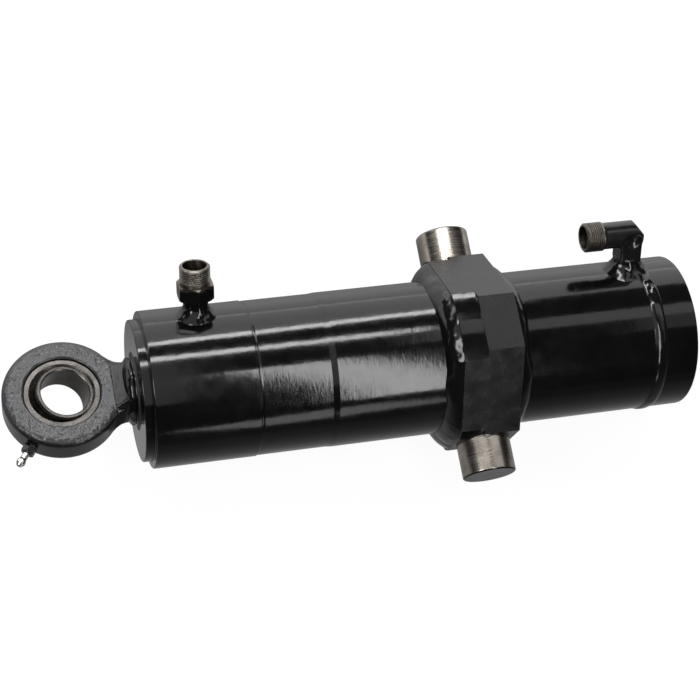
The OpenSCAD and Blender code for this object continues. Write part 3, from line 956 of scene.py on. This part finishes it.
ball_face = math.sqrt(BALL_R**2 - EYE_HALF**2)
ball_arc = [
    (BALL_R * math.sin(a), BALL_R * math.cos(a))
    for a in [math.asin(EYE_HALF / BALL_R) * (k / 12 - 1) for k in range(1, 24)]
]
ball = lathe("bearing_ball_body", [
    *rounded([(-EYE_HALF, BALL_BORE_R + 0.8), (-EYE_HALF, ball_face)]),
    *ball_arc,
    *rounded([(EYE_HALF, ball_face), (EYE_HALF, BALL_BORE_R + 0.8)]),
    (EYE_HALF - 0.8, BALL_BORE_R),
    (-EYE_HALF + 0.8, BALL_BORE_R),
], AT_BALL)
INTO_BALL = AT_BALL.inverted()


def ball_material(centre):
    """Painted shade: darker steel next to the ring and in the bore."""
    p = INTO_BALL @ centre
    radius = math.hypot(p.x, p.y)
    return int(radius < BALL_BORE_R + 0.1 or radius > 21.2)


put(
    ball, "bearing_ball", [bearing_steel, bearing_painted_shade], ["bearing_ball"],
    pick=ball_material,
)


def nipple_shape(along, radius, angle):
    """A hexagon at the foot of the nipple."""
    if 0.4 < along < 6.7 and radius > 3.9:
        flat = angle % (math.pi / 3) - math.pi / 6
        return along, min(radius, 4.5 / math.cos(flat))
    return along, radius


nipple = lathe("nipple_body", rounded([
    (-4, 0.0), (-4, 3.9), (0.5, 3.9), (0.6, 4.6, 0.1), (0.9, 5.3), (6.2, 5.3), (6.6, 4.6, 0.1),
    (6.6, 2.7, 0.3), (7.4, 2.4), (11.6, 2.4, 0.5), (13.4, 3.25, 0.5), (15.6, 3.25, 0.6),
    (18, 1.6, 0.4), (18, 0.9, 0.15), (16, 0.8), (16, 0.0),
]), AT_NIPPLE, 96, nipple_shape)
INTO_NIPPLE = AT_NIPPLE.inverted()
put(
    nipple, "rod_assembly", [enamel, zinc], ["grease_nipple"],
    pick=lambda c: int((INTO_NIPPLE @ c).z > 9.4),
)

# ---------------------------------------------------------------- what stays hidden inside
inner_finish = {
    "gland_o_ring": rubber,
    "piston_o_ring": rubber,
    "gland_backup_ring": white_plastic,
    "rod_seal": polyurethane,
    "piston_seal": polyurethane,
    "rod_buffer_seal": resin,
    "rod_guide_ring_front": resin,
    "rod_guide_ring_rear": resin,
    "piston_wear_ring_front": resin,
    "piston_wear_ring_rear": resin,
    "piston": machined,
    "piston_nut": machined,
}
for node, material in inner_finish.items():
    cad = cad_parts[node]
    cad.data.materials.clear()
    cad.data.materials.append(material)

# ---------------------------------------------------------------- floor and surroundings
floor_z = cad_box[0].z
floor_size = 6.0
floor_mesh = bpy.data.meshes.new("floor")
floor_mesh.from_pydata(
    [(x * floor_size, y * floor_size, floor_z) for x, y in ((-1, -1), (1, -1), (1, 1), (-1, 1))],
    [], [(0, 1, 2, 3)],
)
floor = new_object("floor", floor_mesh)
floor_material = bpy.data.materials.new("pale_floor")
floor_material.use_nodes = True
tree = floor_material.node_tree
tree.nodes.remove(tree.nodes["Principled BSDF"])
place = add(tree, "ShaderNodeTexCoord").outputs["Object"]
across = add(tree, "ShaderNodeSeparateXYZ", {0: place}).outputs["Y"]
# Painted light and shade: how bright the floor is in reflections and bounced light, as (Y, level)
# in metres: bright behind the object, dim beside it, where it paints the object's shadow, and in
# front. The camera itself sees an even, nearly white floor.
FLOOR_SPAN = 1.0
FLOOR_GLOW = (
    (-0.5, 0.06), (-0.2, 0.15), (-0.12, 0.25), (-0.07, 0.36), (0.03, 0.35), (0.1, 0.17),
    (0.15, 0.45), (0.25, 0.85), (0.45, 1.0),
)
glow_at = add(tree, "ShaderNodeMapRange", {
    "Value": across, "From Min": -FLOOR_SPAN, "From Max": FLOOR_SPAN,
}).outputs["Result"]
glow = add(tree, "ShaderNodeValToRGB", {"Fac": glow_at})
ramp = glow.color_ramp
for i, (y, level) in enumerate(FLOOR_GLOW):
    position = (y + FLOOR_SPAN) / (2 * FLOOR_SPAN)
    stop = ramp.elements[i] if i < 2 else ramp.elements.new(position)
    stop.position, stop.color = position, (level, level, level, 1)
seen_in_gloss = add(tree, "ShaderNodeEmission", {"Color": glow.outputs["Color"], "Strength": 1.1})
white = add(tree, "ShaderNodeEmission", {"Color": (1, 1, 1, 1), "Strength": 0.93})
shaded = add(tree, "ShaderNodeBsdfDiffuse", {"Color": (0.9, 0.9, 0.9, 1)})
seen_direct = add(tree, "ShaderNodeAddShader", {
    0: white.outputs[0],
    1: add(tree, "ShaderNodeMixShader", {
        "Fac": 0.1, 1: add(tree, "ShaderNodeBsdfTransparent", {"Color": (0, 0, 0, 1)}).outputs[0],
        2: shaded.outputs[0],
    }).outputs[0],
})
is_camera = add(tree, "ShaderNodeLightPath").outputs["Is Camera Ray"]
surface_mix = add(tree, "ShaderNodeMixShader", {
    "Fac": is_camera, 1: seen_in_gloss.outputs[0], 2: seen_direct.outputs[0],
})
tree.links.new(surface_mix.outputs[0], tree.nodes["Material Output"].inputs["Surface"])
floor_mesh.materials.append(floor_material)

# A white backdrop for the camera that lights the object only a little
world = bpy.data.worlds.new("studio")
bpy.context.scene.world = world
world.use_nodes = True
tree = world.node_tree
background = tree.nodes["Background"]
is_camera = add(tree, "ShaderNodeLightPath").outputs["Is Camera Ray"]
level = add(tree, "ShaderNodeMapRange", {"Value": is_camera, "To Min": 0.03, "To Max": 1.0})
background.inputs["Color"].default_value = (1, 1, 1, 1)
tree.links.new(level.outputs["Result"], background.inputs["Strength"])


def lamp(name, place, turn, size, radiance):
    """A soft rectangular light that the camera doesn't see. It shines along turn's -Z."""
    light = bpy.data.lights.new(name, "AREA")
    light.shape = "RECTANGLE"
    light.size, light.size_y = size
    light.energy = radiance * math.pi * light.size * light.size_y
    made = new_object(name, light)
    made.matrix_world = Matrix.Translation(place) @ turn
    made.visible_camera = False


def panel(name, low, high, start, end, distance, radiance, tilt=0):
    """A light along X from start to end, in metres, seen from the cylinder's axis between the
    angles low and high, which are in degrees from Y towards Z. tilt turns it in its own plane."""
    middle, half = math.radians((low + high) / 2), math.radians((high - low) / 2)
    outward = Vector((0, math.cos(middle), math.sin(middle)))
    along = Vector((1, 0, 0))
    turn = Matrix((along, outward.cross(along), outward)).transposed().to_4x4()
    place = outward * distance + along * (start + end) / 2
    size = end - start, 2 * distance * math.tan(half)
    lamp(name, place, turn @ Matrix.Rotation(math.radians(tilt), 4, "Z"), size, radiance)


panel("side_softbox", -12, 34, -1.6, 1.6, 1.8, 1.45)
panel("strip_low", 37, 43, -0.62, 0.50, 1.5, 13.0, 12)
panel("strip_high", 62, 68, -0.9, 0.36, 1.5, 13.0, 2)
panel("front_overhead", 60, 130, -1.7, -0.05, 1.2, 0.6)
panel("main_softbox", 94, 155, 0.075, 0.25, 1.0, 8.0, 9)
panel("low_strip", 168, 180, 0.0, 0.4, 1.5, 1.8, 30)
panel("rear_overhead", 68, 84, 0.28, 1.7, 1.2, 1.1)
panel("neck_softbox", 29, 45, -1.8, -0.9, 1.5, 3.0)
panel("rear_overhead_near", 84, 104, 0.6, 1.7, 1.2, 0.45)
panel("rear_overhead_low", 104, 130, 1.0, 1.7, 1.2, 0.3)
FRONT_BOX = Vector((-1.1, -0.27, 1.0))
lamp("front_softbox", FRONT_BOX, FRONT_BOX.to_track_quat("Z", "Y").to_matrix().to_4x4(),
     (0.5, 0.5), 8.0)

# ---------------------------------------------------------------- camera
scene = bpy.context.scene
scene.view_settings.view_transform = "Standard"
lens = bpy.data.cameras.new("camera")
lens.sensor_width = 36
lens.lens = 87.61
lens.clip_end = 20
camera = new_object("camera", lens)
CAMERA_AT = Vector((-0.38316, -0.33880, 1.18780))
LOOK = Vector((0.23202, 0.27589, -0.93277))
CAMERA_UP = Vector((0.10964, 0.94541, 0.30690))
right = LOOK.cross(CAMERA_UP).normalized()
up = right.cross(LOOK).normalized()
camera.matrix_world = (
    Matrix.Translation(CAMERA_AT)
    @ Matrix((right, up, -LOOK.normalized())).transposed().to_4x4()
)
scene.camera = camera
